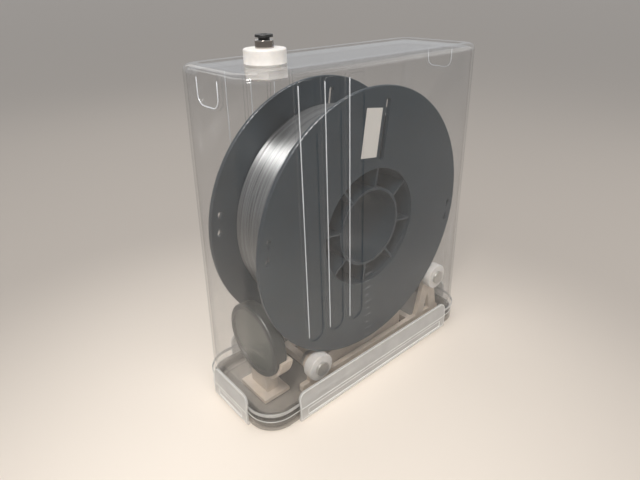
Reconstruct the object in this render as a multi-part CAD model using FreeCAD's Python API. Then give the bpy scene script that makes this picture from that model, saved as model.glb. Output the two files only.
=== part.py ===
"""Filament dryer box: a clear storage box standing upside down on its lid, with a spool on rollers inside.

Millimetres, +Z up. The origin is the centre of the footprint on the table. X runs along the wide
side, the wide front wall faces -Y, and the hygrometer stands at the -X end.
"""
import FreeCAD, Part
import math
import os

from FreeCAD import Vector

# Hood: the clear box, mouth down
HOOD_TOP_Z = 241.5
HOOD_TOP_HALF_X = 103.7
HOOD_TOP_HALF_Y = 36.9
HOOD_TOP_CORNER = 13.5
HOOD_RIM_HALF_X = 110.4
HOOD_RIM_HALF_Y = 41.4
HOOD_RIM_CORNER = 19.0
HOOD_WALL = 1.6
HOOD_TOP_WALL = 1.8
HOOD_TOP_FILLET = 4.5
RIM_Z = 13.6
RIM_FLANGE_HEIGHT = 3.4
RIM_FLANGE_WIDTH = 2.0
NECK_STEP = 1.1
TOP_PANEL_INSET = 9.5
TOP_PANEL_DEPTH = 0.6

# Moulded grooves in the front and rear walls, and the grip recess in each end wall
GROOVE_COUNT = 3
GROOVE_FIRST_X = -63.6
GROOVE_PITCH = 19.3
GROOVE_WIDTH = 12.8
GROOVE_DEPTH = 1.2
GROOVE_BOTTOM_Z = 61.0
GROOVE_TOP_MARGIN = 6.5
GROOVE_TOP_CORNER = 2.5
GRIP_HALF_WIDTH = 11.0
GRIP_HEIGHT = 20.0
GRIP_DEPTH = 1.3
GRIP_CORNER = 6.0

# Lid: base plate, gasket channel and hinged flaps
FOOT_HEIGHT = 1.0
FOOT_WIDTH = 3.0
FOOT_INSET = 4.0
LID_PLATE = 2.0
SKIRT_TOP_Z = 9.0
SKIRT_WALL = 1.8
PLUG_WALL = 1.6
PLUG_TOP_Z = 12.0
CHANNEL_CLEARANCE = 0.6
GASKET_HEIGHT = 3.0
GASKET_CLEARANCE = 0.2

# Flaps: profile across the hinge, measured outwards from the skirt
FLAP_LONG_HALF = 84.0
FLAP_SHORT_HALF = 22.0
FLAP_TOP_Z = 25.5
FLAP_WALL = 1.6
FLAP_REACH = 3.1
FLAP_BEAD_RADIUS = 1.4
FLAP_BOTTOM_Z = 0.5
FLAP_BEND_Z = 12.5
FLAP_LEAN = 1.5
FLAP_CORNER = 5.5
FLAP_HOOK_HEIGHT = 1.8
FLAP_HOOK_GAP = 0.4
FLAP_PANEL_DEPTH = 0.5
FLAP_PANEL_MARGIN = 7.0
FLAP_PANEL_BOTTOM_Z = 4.0
FLAP_PANEL_TOP_Z = 9.5
FLAP_CLEARANCE = 0.3
HINGE_RAIL_REACH = 1.0
HINGE_RAIL_TOP_Z = 4.2

# Outlet in the top wall: printed boss, nut and push-fit tube coupler
OUTLET_X = -64.0
BOSS_RADIUS = 12.6
BOSS_HEIGHT = 8.1
BOSS_FILLET = 1.0
SPIGOT_RADIUS = 9.0
SPIGOT_CLEARANCE = 0.2
NUT_FLATS = 24.0
NUT_HEIGHT = 6.0
SPIGOT_END = 1.5
FITTING_RADIUS = 5.5
FITTING_HEIGHT = 4.5
FITTING_STEM_RADIUS = 4.8
FITTING_STEM_LENGTH = 10.0
FITTING_PASSAGE_RADIUS = 2.4
FITTING_SOCKET_DEPTH = 8.8
FITTING_FIT = 0.1
COLLET_NECK_RADIUS = 3.3
COLLET_CLEARANCE = 0.05
COLLET_BORE_RADIUS = 2.1
COLLET_INSERT = 6.0
COLLET_TRAVEL_GAP = 1.4
COLLET_CAP_RADIUS = 5.2
COLLET_CAP_HEIGHT = 1.5
COLLET_CAP_FILLET = 0.4
O_RING_SECTION = 0.4

# Spool and filament
SPOOL_CENTRE_Z = 123.0
SPOOL_RADIUS = 100.0
SPOOL_WIDTH = 59.0
SPOOL_FLANGE = 3.0
SPOOL_RIM_FILLET = 0.8
SPOOL_TURN_DEG = -8.0
SPOOL_EYE_LIP = 2.5
HUB_BARREL_RADIUS = 47.0
HUB_BARREL_WALL = 2.8
HUB_BORE_RADIUS = 28.0
HUB_BORE_WALL = 2.0
HUB_SET_BACK = 1.5
HUB_RIB_COUNT = 8
HUB_RIB = 1.6
HUB_WEB = 2.0
TEARDROP_RIM_MARGIN = 7.5
TEARDROP_LENGTH = 7.5
TEARDROP_RADIUS = 1.75
TEARDROP_GAP = 3.0
SIGHT_SLOT_WIDTH = 4.5
SIGHT_SLOT_INNER = 50.0
SIGHT_SLOT_OUTER = 92.0
LABEL_WIDTH = 15.0
LABEL_LENGTH = 33.0
LABEL_THICKNESS = 0.2
LABEL_GAP = 3.0
LABEL_CENTRE_RADIUS = 69.0
FILAMENT_DIAMETER = 1.75
FILAMENT_RADIUS = 80.5
FILAMENT_SIDE_CLEARANCE = 0.2
FILAMENT_LAYER_CLEARANCE = 0.1

# Rollers and cradle
ROLLER_RADIUS = 11.0
ROLLER_WIDTH = 8.0
ROLLER_FILLET = 0.8
ROLLER_GAP = 0.3
ROLLER_LEFT_DEG = 29.0
ROLLER_RIGHT_DEG = 48.0
ROLLER_SIDE_CLEARANCE = 0.3
AXLE_RADIUS = 3.95
AXLE_CLEARANCE = 0.05
AXLE_FIT = 0.1
AXLE_HEAD_RADIUS = 5.5
AXLE_HEAD_HEIGHT = 1.8
AXLE_NUT_FLATS = 13.0
AXLE_NUT_HEIGHT = 4.0
AXLE_END = 1.0
FRAME_OUTER_Y = 25.6
FRAME_THICKNESS = 4.0
FRAME_BOSS_RADIUS = 8.0
FRAME_LEG_WIDTH = 9.5
FRAME_RAIL_HEIGHT = 6.0
FRAME_RAIL_LEFT_X = -66.0
FRAME_RAIL_RIGHT_X = 100.0
FRAME_OUTER_FOOT_X = 94.0
FRAME_INNER_FOOT_X = 72.0
FRAME_RAIL_CORNER = 2.0
TIE_BAR_WIDTH = 6.0
TIE_BAR_LEFT_X = -44.0
TIE_BAR_RIGHT_X = 62.0

# Desiccant tray between the frames
TRAY_LEFT_X = -38.0
TRAY_RIGHT_X = 56.0
TRAY_HALF_Y = 19.0
TRAY_HEIGHT = 15.0
TRAY_WALL = 1.6
TRAY_CORNER = 5.0
BEAD_CLEARANCE = 0.2
BEAD_LEVEL_MARGIN = 1.5
COVER_THICKNESS = 1.6
COVER_SLOT_COUNT = 9
COVER_SLOT_WIDTH = 2.5
COVER_SLOT_MARGIN = 6.0

# Hygrometer and its stand
METER_RADIUS = 28.75
METER_FACE_X = -91.0
METER_DEPTH = 10.0
METER_CENTRE_Z = 51.0
METER_FILLET = 1.5
METER_WINDOW_RADIUS = 24.5
METER_WINDOW_DEPTH = 2.1
DISPLAY_THICKNESS = 0.6
LENS_THICKNESS = 1.2
WINDOW_CLEARANCE = 0.2
HOLDER_CLEARANCE = 0.3
HOLDER_WALL = 2.2
HOLDER_PLATE = 3.0
HOLDER_BAND = 7.0
HOLDER_RISE = 5.0
HOLDER_STEM_HALF_Y = 10.0
HOLDER_FOOT_HALF_X = 11.5
HOLDER_FOOT_HALF_Y = 16.0
HOLDER_FOOT_HEIGHT = 3.0

# Sizes that follow from the ones above
HOOD_CEILING_Z = HOOD_TOP_Z - TOP_PANEL_DEPTH - HOOD_TOP_WALL
RIM_TOP_Z = RIM_Z + RIM_FLANGE_HEIGHT
HOOD_DRAFT_X = (HOOD_RIM_HALF_X - HOOD_TOP_HALF_X) / (HOOD_TOP_Z - RIM_Z)
HOOD_DRAFT_Y = (HOOD_RIM_HALF_Y - HOOD_TOP_HALF_Y) / (HOOD_TOP_Z - RIM_Z)
HOOD_DRAFT_CORNER = (HOOD_RIM_CORNER - HOOD_TOP_CORNER) / (HOOD_TOP_Z - RIM_Z)
FLOOR_Z = FOOT_HEIGHT + LID_PLATE
MOUTH_Z = FLOOR_Z + GASKET_HEIGHT
NECK_OUTER = (HOOD_RIM_HALF_X - NECK_STEP, HOOD_RIM_HALF_Y - NECK_STEP, HOOD_RIM_CORNER - NECK_STEP)
SPOOL_HALF = SPOOL_WIDTH / 2
FLANGE_INNER_Y = SPOOL_HALF - SPOOL_FLANGE
SPOOL_CENTRE = Vector(0, 0, SPOOL_CENTRE_Z)
SPOOL_EYE_RADIUS = HUB_BARREL_RADIUS - SPOOL_EYE_LIP
TEARDROP_PITCH_RADIUS = SPOOL_RADIUS - TEARDROP_RIM_MARGIN
BOSS_BASE_Z = HOOD_TOP_Z - TOP_PANEL_DEPTH
FITTING_BASE_Z = BOSS_BASE_Z + BOSS_HEIGHT
FITTING_TOP_Z = FITTING_BASE_Z + FITTING_HEIGHT
ROLLER_INNER_Y = FRAME_OUTER_Y + ROLLER_SIDE_CLEARANCE
ROLLER_OUTER_Y = ROLLER_INNER_Y + ROLLER_WIDTH
AXLE_HEAD_Y = ROLLER_OUTER_Y + ROLLER_SIDE_CLEARANCE
FRAME_INNER_Y = FRAME_OUTER_Y - FRAME_THICKNESS
METER_BACK_X = METER_FACE_X + METER_DEPTH
OVERCUT = 5.0
X_AXIS = Vector(1, 0, 0)
Y_AXIS = Vector(0, 1, 0)
Z_AXIS = Vector(0, 0, 1)


def grown(size, amount):
    """Half length, half width and corner radius of an outline, moved outwards by an amount."""
    return tuple(value + amount for value in size)


def rounded_outline(size, z):
    """Closed wire of a rectangle with round corners, level at height z."""
    half_x, half_y, corner = size
    diagonal = corner * math.sqrt(0.5)
    edges = []
    for quarter in range(4):
        angle = quarter * math.pi / 2
        sign_x = 1 if quarter in (0, 3) else -1
        sign_y = 1 if quarter in (0, 1) else -1
        centre = Vector(sign_x * (half_x - corner), sign_y * (half_y - corner), z)
        start = centre + Vector(math.cos(angle), math.sin(angle), 0) * corner
        middle = centre + Vector(sign_x * diagonal, sign_y * diagonal, 0)
        end = centre + Vector(-math.sin(angle), math.cos(angle), 0) * corner
        if edges:
            edges.append(Part.LineSegment(last, start).toShape())
        else:
            first = start
        edges.append(Part.Arc(start, middle, end).toShape())
        last = end
    edges.append(Part.LineSegment(last, first).toShape())
    return Part.Wire(edges)


def rounded_block(size, low, high):
    """Upright block with round vertical corners."""
    return Part.Face(rounded_outline(size, low)).extrude(Vector(0, 0, high - low))


def rounded_ring(outer, inner, low, high):
    """Upright wall between two rounded outlines."""
    return rounded_block(outer, low, high).cut(rounded_block(inner, low, high))


def box(low, high):
    """Box between two corners."""
    return Part.makeBox(high[0] - low[0], high[1] - low[1], high[2] - low[2], Vector(*low))


def disc_y(radius, low, high, centre):
    """Round disc whose axis runs along Y."""
    return Part.makeCylinder(radius, high - low, Vector(centre.x, low, centre.z), Y_AXIS)


def ring_y(outer, inner, low, high, centre):
    """Flat ring whose axis runs along Y."""
    return disc_y(outer, low, high, centre).cut(disc_y(inner, low, high, centre))


def hexagon(flats, height, base, axis):
    """Hexagonal prism with the given size across its flats."""
    radius = flats / math.sqrt(3)
    points = []
    for corner in range(7):
        angle = corner * math.pi / 3
        points.append(Vector(radius * math.cos(angle), radius * math.sin(angle), 0))
    prism = Part.Face(Part.makePolygon(points)).extrude(Vector(0, 0, height))
    prism.Placement = FreeCAD.Placement(base, FreeCAD.Rotation(Z_AXIS, axis))
    return prism


def edges_at_height(shape, z):
    """Edges that lie level at height z."""
    found = []
    for edge in shape.Edges:
        bounds = edge.BoundBox
        if abs(bounds.ZMin - z) < 1e-4 and abs(bounds.ZMax - z) < 1e-4:
            found.append(edge)
    return found


def round_edges(shape, radius, circle_radius):
    """Fillet every full circular edge of one radius."""
    chosen = []
    for edge in shape.Edges:
        if isinstance(edge.Curve, Part.Circle) and abs(edge.Curve.Radius - circle_radius) < 1e-4:
            chosen.append(edge)
    return shape.makeFillet(radius, chosen)


def mirrored_y(shape):
    """The same piece on the other side of the middle plane."""
    return shape.mirror(Vector(0, 0, 0), Y_AXIS)


def hood_size(z):
    """Outer half length, half width and corner radius of the hood at height z."""
    drop = HOOD_TOP_Z - z
    return (HOOD_TOP_HALF_X + HOOD_DRAFT_X * drop,
            HOOD_TOP_HALF_Y + HOOD_DRAFT_Y * drop,
            HOOD_TOP_CORNER + HOOD_DRAFT_CORNER * drop)


def hood_form(inset, low, high, fillet):
    """Tapered block that follows the hood's wall, inset by a wall thickness, with a rounded top."""
    bottom = grown(hood_size(low), -inset)
    top = grown(hood_size(high), -inset)
    form = Part.makeWedge(-bottom[0], low, -bottom[1], -top[1], -top[0],
                          bottom[0], high, bottom[1], top[1], top[0])
    form.rotate(Vector(0, 0, 0), X_AXIS, 90)
    corners = [edge for edge in form.Edges if edge.BoundBox.ZLength > (high - low) / 2]
    form = form.makeFillet(bottom[2], top[2], corners)
    return form.makeFillet(fillet, edges_at_height(form, high))


def groove_block(grow, depth):
    """One groove of the front wall, tilted with the wall, as a block that reaches in by a depth."""
    half = GROOVE_WIDTH / 2 + grow
    low = GROOVE_BOTTOM_Z - grow
    high = HOOD_TOP_Z - GROOVE_TOP_MARGIN + grow
    corner = GROOVE_TOP_CORNER
    slant = corner * (1 - math.sqrt(0.5))
    y = -HOOD_TOP_HALF_Y - OVERCUT
    edges = [
        Part.Arc(Vector(-half, y, low + half), Vector(0, y, low), Vector(half, y, low + half)),
        Part.LineSegment(Vector(half, y, low + half), Vector(half, y, high - corner)),
        Part.Arc(Vector(half, y, high - corner), Vector(half - slant, y, high - slant),
                 Vector(half - corner, y, high)),
        Part.LineSegment(Vector(half - corner, y, high), Vector(corner - half, y, high)),
        Part.Arc(Vector(corner - half, y, high), Vector(slant - half, y, high - slant),
                 Vector(-half, y, high - corner)),
        Part.LineSegment(Vector(-half, y, high - corner), Vector(-half, y, low + half)),
    ]
    wire = Part.Wire([edge.toShape() for edge in edges])
    block = Part.Face(wire).extrude(Vector(0, OVERCUT + depth, 0))
    tilt = -math.degrees(math.atan(HOOD_DRAFT_Y))
    block.rotate(Vector(0, -HOOD_TOP_HALF_Y, HOOD_TOP_Z), X_AXIS, tilt)
    return block


def grip_block(grow, depth):
    """The U-shaped grip recess of the left end wall, as a block that reaches in by a depth."""
    half = GRIP_HALF_WIDTH + grow
    low = HOOD_TOP_Z - GRIP_HEIGHT - grow
    x = -HOOD_TOP_HALF_X - OVERCUT
    block = box((x, -half, low), (x + OVERCUT + depth, half, HOOD_TOP_Z + OVERCUT))
    lower = []
    for edge in block.Edges:
        bounds = edge.BoundBox
        if abs(bounds.ZMax - low) < 1e-4 and bounds.XLength > depth:
            lower.append(edge)
    block = block.makeFillet(GRIP_CORNER + grow, lower)
    block.rotate(Vector(-HOOD_TOP_HALF_X, 0, HOOD_TOP_Z), Y_AXIS, math.degrees(math.atan(HOOD_DRAFT_X)))
    return block


def wall_features(grow, deeper):
    """All grooves and grips, grown sideways and deepened by a wall for the inside of the hood."""
    features = []
    for index in range(GROOVE_COUNT):
        groove = groove_block(grow, GROOVE_DEPTH + deeper)
        groove.translate(Vector(GROOVE_FIRST_X + index * GROOVE_PITCH, 0, 0))
        features.append(groove)
        features.append(mirrored_y(groove))
    grip = grip_block(grow, GRIP_DEPTH + deeper)
    features.append(grip)
    features.append(grip.mirror(Vector(0, 0, 0), X_AXIS))
    return features


def make_container_shell():
    """Tapered clear box with a rim flange, moulded grooves and a sunk panel on top."""
    outer = hood_form(0, RIM_Z, HOOD_TOP_Z, HOOD_TOP_FILLET)
    flange_size = grown(hood_size(RIM_Z), RIM_FLANGE_WIDTH)
    outer = outer.fuse([rounded_block(flange_size, RIM_Z, RIM_TOP_Z),
                        rounded_block(NECK_OUTER, MOUTH_Z, RIM_Z)])
    inner_fillet = HOOD_TOP_FILLET - HOOD_WALL
    cavity = hood_form(HOOD_WALL, RIM_TOP_Z, HOOD_CEILING_Z, inner_fillet)
    neck_inner = grown(NECK_OUTER, -HOOD_WALL)
    mouth = rounded_block(neck_inner, MOUTH_Z - OVERCUT, RIM_TOP_Z)
    shell = outer.cut(cavity.cut(wall_features(HOOD_WALL, HOOD_WALL)))
    shell = shell.cut([mouth] + wall_features(0, 0))
    panel_size = grown((HOOD_TOP_HALF_X, HOOD_TOP_HALF_Y, HOOD_TOP_CORNER), -TOP_PANEL_INSET)
    panel = rounded_block(panel_size, BOSS_BASE_Z, HOOD_TOP_Z + OVERCUT)
    hole_radius = SPIGOT_RADIUS + SPIGOT_CLEARANCE
    hole = Part.makeCylinder(hole_radius, 2 * OVERCUT, Vector(OUTLET_X, 0, HOOD_CEILING_Z - OVERCUT))
    return shell.cut([panel, hole]).removeSplitter()


def make_lid_plate():
    """Lid lying outside down: foot bead, plate, skirt, plug wall and the hinge rails of the flaps."""
    skirt_inner = grown(NECK_OUTER, CHANNEL_CLEARANCE)
    skirt_outer = grown(skirt_inner, SKIRT_WALL)
    plug_outer = grown(NECK_OUTER, -HOOD_WALL - CHANNEL_CLEARANCE)
    plug_inner = grown(plug_outer, -PLUG_WALL)
    foot_outer = grown(skirt_outer, -FOOT_INSET)
    foot = rounded_ring(foot_outer, grown(foot_outer, -FOOT_WIDTH), 0, FOOT_HEIGHT)
    plate = rounded_block(skirt_outer, FOOT_HEIGHT, FLOOR_Z)
    skirt = rounded_ring(skirt_outer, skirt_inner, FLOOR_Z, SKIRT_TOP_Z)
    plug = rounded_ring(plug_outer, plug_inner, FLOOR_Z, PLUG_TOP_Z)
    lid = plate.fuse([foot, skirt, plug] + [hinge_rail(side) for side in FLAP_SIDES.values()])
    return lid.cut([hinge_groove(side) for side in FLAP_SIDES.values()]).removeSplitter()


def make_lid_gasket():
    """Soft square ring at the bottom of the lid's channel, under the hood's mouth edge."""
    outer = grown(NECK_OUTER, CHANNEL_CLEARANCE - GASKET_CLEARANCE)
    inner = grown(NECK_OUTER, -HOOD_WALL - CHANNEL_CLEARANCE + GASKET_CLEARANCE)
    return rounded_ring(outer, inner, FLOOR_Z, MOUTH_Z)


# Each flap: turn about Z from the front, half length, and distance of the skirt from the middle
SKIRT_REACH = CHANNEL_CLEARANCE + SKIRT_WALL
FLAP_SIDES = {
    "front": (0, FLAP_LONG_HALF, NECK_OUTER[1] + SKIRT_REACH),
    "right": (90, FLAP_SHORT_HALF, NECK_OUTER[0] + SKIRT_REACH),
    "rear": (180, FLAP_LONG_HALF, NECK_OUTER[1] + SKIRT_REACH),
    "left": (270, FLAP_SHORT_HALF, NECK_OUTER[0] + SKIRT_REACH),
}
HINGE_OUT = FLAP_REACH - FLAP_BEAD_RADIUS
HINGE_Z = FLAP_BOTTOM_Z + FLAP_BEAD_RADIUS


def turned(shape, side):
    """Carry a shape from the front side to one of the four sides."""
    shape.rotate(Vector(0, 0, 0), Z_AXIS, side[0])
    return shape


def hinge_rail(side):
    """Lip on the skirt over one flap's hinge bead."""
    half, skirt = side[1], side[2]
    rail = box((-half, -skirt - HINGE_RAIL_REACH, HINGE_Z), (half, -skirt + SKIRT_WALL / 2, HINGE_RAIL_TOP_Z))
    return turned(rail, side)


def hinge_groove(side):
    """Half-round clearance round one flap's hinge bead."""
    half = side[1] + FLAP_CLEARANCE
    start = Vector(-half, -side[2] - HINGE_OUT, HINGE_Z)
    groove = Part.makeCylinder(FLAP_BEAD_RADIUS + FLAP_CLEARANCE, 2 * half, start, X_AXIS)
    return turned(groove, side)


def make_flap(side):
    """One locking flap: round hinge bead, upright panel, band that leans in, and the hook inside."""
    half, skirt = side[1], side[2]

    def at(out, z):
        return Vector(-half, -skirt - out, z)

    inner = FLAP_REACH - FLAP_WALL
    hook_low = RIM_TOP_Z + FLAP_HOOK_GAP
    hook_reach = RIM_FLANGE_WIDTH + NECK_STEP - SKIRT_REACH + FLAP_CLEARANCE
    lean = FLAP_LEAN / (FLAP_TOP_Z - FLAP_BEND_Z)
    hook_high = hook_low + FLAP_HOOK_HEIGHT
    profile = Part.makePolygon([
        at(FLAP_REACH, HINGE_Z),
        at(FLAP_REACH, FLAP_BEND_Z),
        at(FLAP_REACH - FLAP_LEAN, FLAP_TOP_Z),
        at(inner - FLAP_LEAN, FLAP_TOP_Z),
        at(inner - lean * (hook_high - FLAP_BEND_Z), hook_high),
        at(hook_reach, hook_high),
        at(hook_reach, hook_low),
        at(inner, hook_low - FLAP_HOOK_GAP),
        at(inner, HINGE_Z),
        at(FLAP_REACH, HINGE_Z),
    ])
    panel = Part.Face(profile).extrude(Vector(2 * half, 0, 0))
    bead = Part.makeCylinder(FLAP_BEAD_RADIUS, 2 * half, at(HINGE_OUT, HINGE_Z), X_AXIS)
    outline = rounded_block((half, FLAP_TOP_Z, FLAP_CORNER), 0, 2 * FLAP_REACH + FLAP_WALL)
    outline.rotate(Vector(0, 0, 0), X_AXIS, 90)
    outline.translate(Vector(0, -skirt + FLAP_WALL, 0))
    flap = panel.common(outline).fuse(bead)
    recess_half = half - FLAP_PANEL_MARGIN
    recess_y = -skirt - FLAP_REACH
    recess = box((-recess_half, recess_y - OVERCUT, FLAP_PANEL_BOTTOM_Z),
                 (recess_half, recess_y + FLAP_PANEL_DEPTH, FLAP_PANEL_TOP_Z))
    return turned(flap.cut(recess).removeSplitter(), side)


def upright(radius, low, high):
    """Cylinder on the outlet's axis."""
    return Part.makeCylinder(radius, high - low, Vector(OUTLET_X, 0, low))


def make_outlet_boss():
    """Printed boss with a spigot through the top wall and a bore for the coupler's stem."""
    disc = upright(BOSS_RADIUS, BOSS_BASE_Z, FITTING_BASE_Z)
    disc = disc.makeFillet(BOSS_FILLET, edges_at_height(disc, FITTING_BASE_Z))
    spigot_end = HOOD_CEILING_Z - NUT_HEIGHT - SPIGOT_END
    boss = disc.fuse(upright(SPIGOT_RADIUS, spigot_end, BOSS_BASE_Z))
    return boss.cut(upright(FITTING_STEM_RADIUS + FITTING_FIT, spigot_end, FITTING_BASE_Z)).removeSplitter()


def make_outlet_nut():
    """Printed hexagonal nut that clamps the boss from inside the hood."""
    base = Vector(OUTLET_X, 0, HOOD_CEILING_Z - NUT_HEIGHT)
    nut = hexagon(NUT_FLATS, NUT_HEIGHT, base, Z_AXIS)
    return nut.cut(upright(SPIGOT_RADIUS + FITTING_FIT, base.z, HOOD_CEILING_Z))


def make_fitting_body():
    """Nickel-plated coupler: round head, threaded stem and a stepped bore for collet and tube."""
    stem_end = FITTING_BASE_Z - FITTING_STEM_LENGTH
    head = upright(FITTING_RADIUS, FITTING_BASE_Z, FITTING_TOP_Z)
    head = head.makeFillet(BOSS_FILLET / 2, edges_at_height(head, FITTING_TOP_Z))
    body = head.fuse(upright(FITTING_STEM_RADIUS, stem_end, FITTING_BASE_Z))
    socket = upright(COLLET_NECK_RADIUS + COLLET_CLEARANCE, FITTING_TOP_Z - FITTING_SOCKET_DEPTH, FITTING_TOP_Z)
    passage = upright(FITTING_PASSAGE_RADIUS, stem_end, FITTING_TOP_Z)
    return body.cut([socket, passage]).removeSplitter()


def make_fitting_o_ring():
    """Seal ring at the bottom of the coupler's socket."""
    centre = Vector(OUTLET_X, 0, FITTING_TOP_Z - FITTING_SOCKET_DEPTH + O_RING_SECTION)
    return Part.makeTorus(COLLET_NECK_RADIUS - O_RING_SECTION, O_RING_SECTION, centre)


def make_fitting_collet():
    """Release collet: a sleeve that slides in the coupler, with a cap to press."""
    cap_base = FITTING_TOP_Z + COLLET_TRAVEL_GAP
    cap_top = cap_base + COLLET_CAP_HEIGHT
    cap = upright(COLLET_CAP_RADIUS, cap_base, cap_top)
    cap = cap.makeFillet(COLLET_CAP_FILLET, edges_at_height(cap, cap_top))
    collet = cap.fuse(upright(COLLET_NECK_RADIUS, FITTING_TOP_Z - COLLET_INSERT, cap_base))
    return collet.cut(upright(COLLET_BORE_RADIUS, FITTING_TOP_Z - COLLET_INSERT, cap_top)).removeSplitter()


def spool_point(radius, degrees, y):
    """Point of the turned spool in polar form, seen from the front."""
    angle = math.radians(degrees + SPOOL_TURN_DEG)
    return SPOOL_CENTRE + Vector(radius * math.cos(angle), y, radius * math.sin(angle))


def teardrop(degrees, direction):
    """Cutter for one teardrop hole beside the given angle, with its narrow end towards that angle."""
    tip_reach = TEARDROP_LENGTH - TEARDROP_RADIUS
    spread = math.acos(TEARDROP_RADIUS / tip_reach)
    tangent = Vector(TEARDROP_RADIUS * math.cos(spread), 0, TEARDROP_RADIUS * math.sin(spread))
    upper = Vector(tangent.x, 0, tangent.z)
    lower = Vector(tangent.x, 0, -tangent.z)
    tip = Vector(tip_reach, 0, 0)
    edges = [
        Part.LineSegment(lower, tip),
        Part.LineSegment(tip, upper),
        Part.Arc(upper, Vector(-TEARDROP_RADIUS, 0, 0), lower),
    ]
    wire = Part.Wire([edge.toShape() for edge in edges])
    cutter = Part.Face(wire).extrude(Vector(0, SPOOL_WIDTH, 0))
    shift = direction * (TEARDROP_GAP / 2 + tip_reach)
    angle = degrees + SPOOL_TURN_DEG
    cutter.rotate(Vector(0, 0, 0), Y_AXIS, 90 if direction > 0 else -90)
    cutter.translate(Vector(TEARDROP_PITCH_RADIUS, -SPOOL_HALF, shift))
    cutter.rotate(Vector(0, 0, 0), Y_AXIS, -angle)
    cutter.translate(SPOOL_CENTRE)
    return cutter


def sight_slot():
    """Cutter for the radial slot that shows how much filament is left."""
    half = SIGHT_SLOT_WIDTH / 2
    size = ((SIGHT_SLOT_OUTER - SIGHT_SLOT_INNER) / 2, half, half * 0.999)
    slot = rounded_block(size, 0, SPOOL_WIDTH)
    slot.translate(Vector((SIGHT_SLOT_OUTER + SIGHT_SLOT_INNER) / 2, 0, 0))
    slot.rotate(Vector(0, 0, 0), Z_AXIS, 90 + SPOOL_TURN_DEG)
    slot.rotate(Vector(0, 0, 0), X_AXIS, 90)
    slot.translate(SPOOL_CENTRE + Vector(0, SPOOL_HALF, 0))
    return slot


def make_spool_flange():
    """Front flange: a flat ring with two pairs of teardrop holes and a radial sight slot."""
    flange = ring_y(SPOOL_RADIUS, SPOOL_EYE_RADIUS, -SPOOL_HALF, -FLANGE_INNER_Y, SPOOL_CENTRE)
    flange = round_edges(flange, SPOOL_RIM_FILLET, SPOOL_RADIUS)
    cutters = [sight_slot()]
    for degrees in (0, 180):
        for direction in (-1, 1):
            cutters.append(teardrop(degrees, direction))
    return flange.cut(cutters)


def make_spool_hub():
    """Hub: barrel, bore tube, radial ribs and a middle web."""
    barrel_inner = HUB_BARREL_RADIUS - HUB_BARREL_WALL
    bore_outer = HUB_BORE_RADIUS + HUB_BORE_WALL
    core_half = SPOOL_HALF - HUB_SET_BACK
    barrel = ring_y(HUB_BARREL_RADIUS, barrel_inner, -FLANGE_INNER_Y, FLANGE_INNER_Y, SPOOL_CENTRE)
    bore = ring_y(bore_outer, HUB_BORE_RADIUS, -core_half, core_half, SPOOL_CENTRE)
    web = ring_y(barrel_inner, bore_outer, -HUB_WEB / 2, HUB_WEB / 2, SPOOL_CENTRE)
    band = ring_y(barrel_inner, bore_outer, -core_half, core_half, SPOOL_CENTRE)
    ribs = []
    for index in range(HUB_RIB_COUNT):
        rib = box((0, -core_half, -HUB_RIB / 2), (HUB_BARREL_RADIUS, core_half, HUB_RIB / 2))
        rib.translate(SPOOL_CENTRE)
        rib.rotate(SPOOL_CENTRE, Y_AXIS, index * 360 / HUB_RIB_COUNT - SPOOL_TURN_DEG)
        ribs.append(rib.common(band))
    return barrel.fuse([bore, web] + ribs).removeSplitter()


def make_spool_label():
    """Bare paper label on the front flange, beside the sight slot and parallel to it."""
    offset = SIGHT_SLOT_WIDTH / 2 + LABEL_GAP + LABEL_WIDTH / 2
    label = box((-offset - LABEL_WIDTH / 2, -SPOOL_HALF - LABEL_THICKNESS, LABEL_CENTRE_RADIUS - LABEL_LENGTH / 2),
                (-offset + LABEL_WIDTH / 2, -SPOOL_HALF, LABEL_CENTRE_RADIUS + LABEL_LENGTH / 2))
    label.rotate(Vector(0, 0, 0), Y_AXIS, -SPOOL_TURN_DEG)
    label.translate(SPOOL_CENTRE)
    return label


def make_filament_core():
    """Inner layers of filament as one plain ring between the flanges."""
    outer = FILAMENT_RADIUS - FILAMENT_DIAMETER - FILAMENT_LAYER_CLEARANCE
    half = FLANGE_INNER_Y - FILAMENT_SIDE_CLEARANCE
    inner = HUB_BARREL_RADIUS + FILAMENT_LAYER_CLEARANCE
    return ring_y(outer, inner, -half, half, SPOOL_CENTRE)


def make_filament_winding():
    """Outer layer of filament as one plain ring over the core."""
    half = FLANGE_INNER_Y - FILAMENT_SIDE_CLEARANCE
    return ring_y(FILAMENT_RADIUS, FILAMENT_RADIUS - FILAMENT_DIAMETER, -half, half, SPOOL_CENTRE)


def roller_centre(degrees):
    """Centre of a roller under the spool, at an angle from straight down."""
    reach = SPOOL_RADIUS + ROLLER_RADIUS + ROLLER_GAP
    angle = math.radians(degrees)
    return SPOOL_CENTRE + Vector(reach * math.sin(angle), 0, -reach * math.cos(angle))


ROLLER_CENTRES = {"left": roller_centre(-ROLLER_LEFT_DEG), "right": roller_centre(ROLLER_RIGHT_DEG)}


def make_roller(centre):
    """Front roller: a wheel with a plain bore and eased edges."""
    roller = ring_y(ROLLER_RADIUS, AXLE_RADIUS + AXLE_CLEARANCE, -ROLLER_OUTER_Y, -ROLLER_INNER_Y, centre)
    return round_edges(roller, ROLLER_FILLET, ROLLER_RADIUS)


def make_axle_screw(centre):
    """Front axle screw: a round head outside the roller and a shank through the frame and nut."""
    tail = -(FRAME_INNER_Y - AXLE_NUT_HEIGHT - AXLE_END)
    head = disc_y(AXLE_HEAD_RADIUS, -AXLE_HEAD_Y - AXLE_HEAD_HEIGHT, -AXLE_HEAD_Y, centre)
    return head.fuse(disc_y(AXLE_RADIUS, -AXLE_HEAD_Y, tail, centre))


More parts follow.
